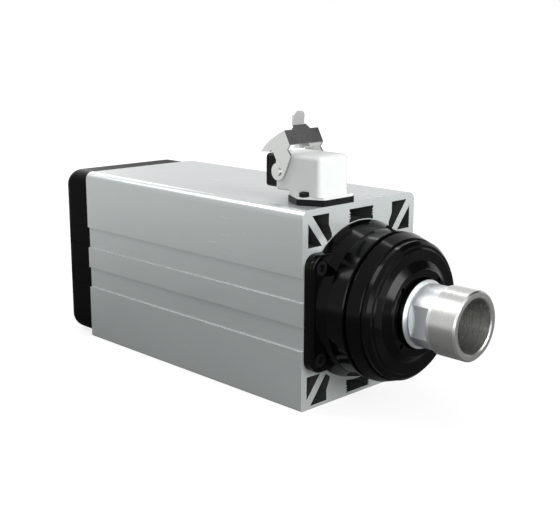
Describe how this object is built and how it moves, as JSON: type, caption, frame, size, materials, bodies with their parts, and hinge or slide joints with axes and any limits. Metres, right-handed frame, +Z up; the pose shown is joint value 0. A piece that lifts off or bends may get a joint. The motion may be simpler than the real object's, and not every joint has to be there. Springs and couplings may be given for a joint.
{
  "type": "motor spindle",
  "caption": "Air-cooled square motor spindle with a collet nose, flanged front bearing housing, rear fan cowl and a top-mounted angled power connector with a locking lever.",
  "frame": {"origin": "centre of the nose face, on the spindle axis", "axes": "+Y along the spindle axis from the nose towards the fan, +Z up through the connector, +X to the right seen from the nose"},
  "size_m": [0.1, 0.3235, 0.1708],
  "materials": {
    "anodised_aluminium": "matte anodised",
    "black_paint": "semi-gloss black",
    "black_screws": "black oxide",
    "turned_steel": "fine turned",
    "bearing_steel": "ground",
    "cage_brass": "machined",
    "electrical_steel": "stacked laminations",
    "copper_windings": "varnished enamelled wire",
    "cast_aluminium": "as cast",
    "spring_steel": "tempered",
    "black_plastic": "fine texture",
    "fan_plastic": "moulded",
    "rubber_gasket": "moulded",
    "grey_powder": "light powder coat",
    "insert_plastic": "moulded",
    "contact_metal": "plated",
    "stainless": "bright rolled sheet"
  },
  "bodies": {
    "frame": {"body_extrusion": "anodised_aluminium", "front_bearing_housing": "black_paint", "front_bearing_cover": "black_paint", "housing_screws": "black_screws", "front_bearing_a_outer_race": "bearing_steel", "front_bearing_b_outer_race": "bearing_steel", "rear_bearing_outer_race": "bearing_steel", "outer_spacer_ring": "turned_steel", "stator_core": "electrical_steel", "stator_windings": "copper_windings", "rear_bearing_shield": "cast_aluminium", "shield_screws": "black_screws", "preload_washer": "spring_steel", "rear_cowl": "black_plastic", "cowl_screws": "black_screws", "connector_gasket": "rubber_gasket", "connector_housing": "grey_powder", "connector_insert": "insert_plastic", "connector_contacts": "contact_metal", "connector_screws": "black_screws", "lever_pivots": "stainless"},
    "rotor": {"spindle_shaft": "turned_steel", "front_bearing_a_inner_race": "bearing_steel", "front_bearing_b_inner_race": "bearing_steel", "rear_bearing_inner_race": "bearing_steel", "inner_spacer_ring": "turned_steel", "bearing_lock_nut": "turned_steel", "rotor_core": "electrical_steel", "rotor_cage": "cast_aluminium", "rear_retaining_ring": "spring_steel", "cooling_fan": "fan_plastic", "fan_retaining_ring": "spring_steel"},
    "front_cage_a": {"front_bearing_a_balls": "bearing_steel", "front_bearing_a_cage": "cage_brass"},
    "front_cage_b": {"front_bearing_b_balls": "bearing_steel", "front_bearing_b_cage": "cage_brass"},
    "rear_cage": {"rear_bearing_balls": "bearing_steel", "rear_bearing_cage": "cage_brass"},
    "lever": {"locking_lever": "stainless"}
  },
  "joints": [
    {"name": "spindle_spin", "type": "hinge", "parent": "frame", "child": "rotor", "pos_m": [0, 0, 0], "axis": [0, 1, 0], "continuous": true},
    {"name": "front_cage_a_spin", "type": "hinge", "parent": "frame", "child": "front_cage_a", "pos_m": [0, 0.067, 0], "axis": [0, 1, 0], "continuous": true},
    {"name": "front_cage_b_spin", "type": "hinge", "parent": "frame", "child": "front_cage_b", "pos_m": [0, 0.083, 0], "axis": [0, 1, 0], "continuous": true},
    {"name": "rear_cage_spin", "type": "hinge", "parent": "frame", "child": "rear_cage", "pos_m": [0, 0.291, 0], "axis": [0, 1, 0], "continuous": true},
    {"name": "lever_swing", "type": "hinge", "parent": "frame", "child": "lever", "pos_m": [-0.0225, 0.1163, 0.0766], "axis": [-1, 0, 0], "range_deg": [-10, 80]}
  ],
  "couplings": [
    {"joint": "front_cage_a_spin", "follows": "spindle_spin", "ratio": 0.4175},
    {"joint": "front_cage_b_spin", "follows": "spindle_spin", "ratio": 0.4175},
    {"joint": "rear_cage_spin", "follows": "spindle_spin", "ratio": 0.3836}
  ]
}
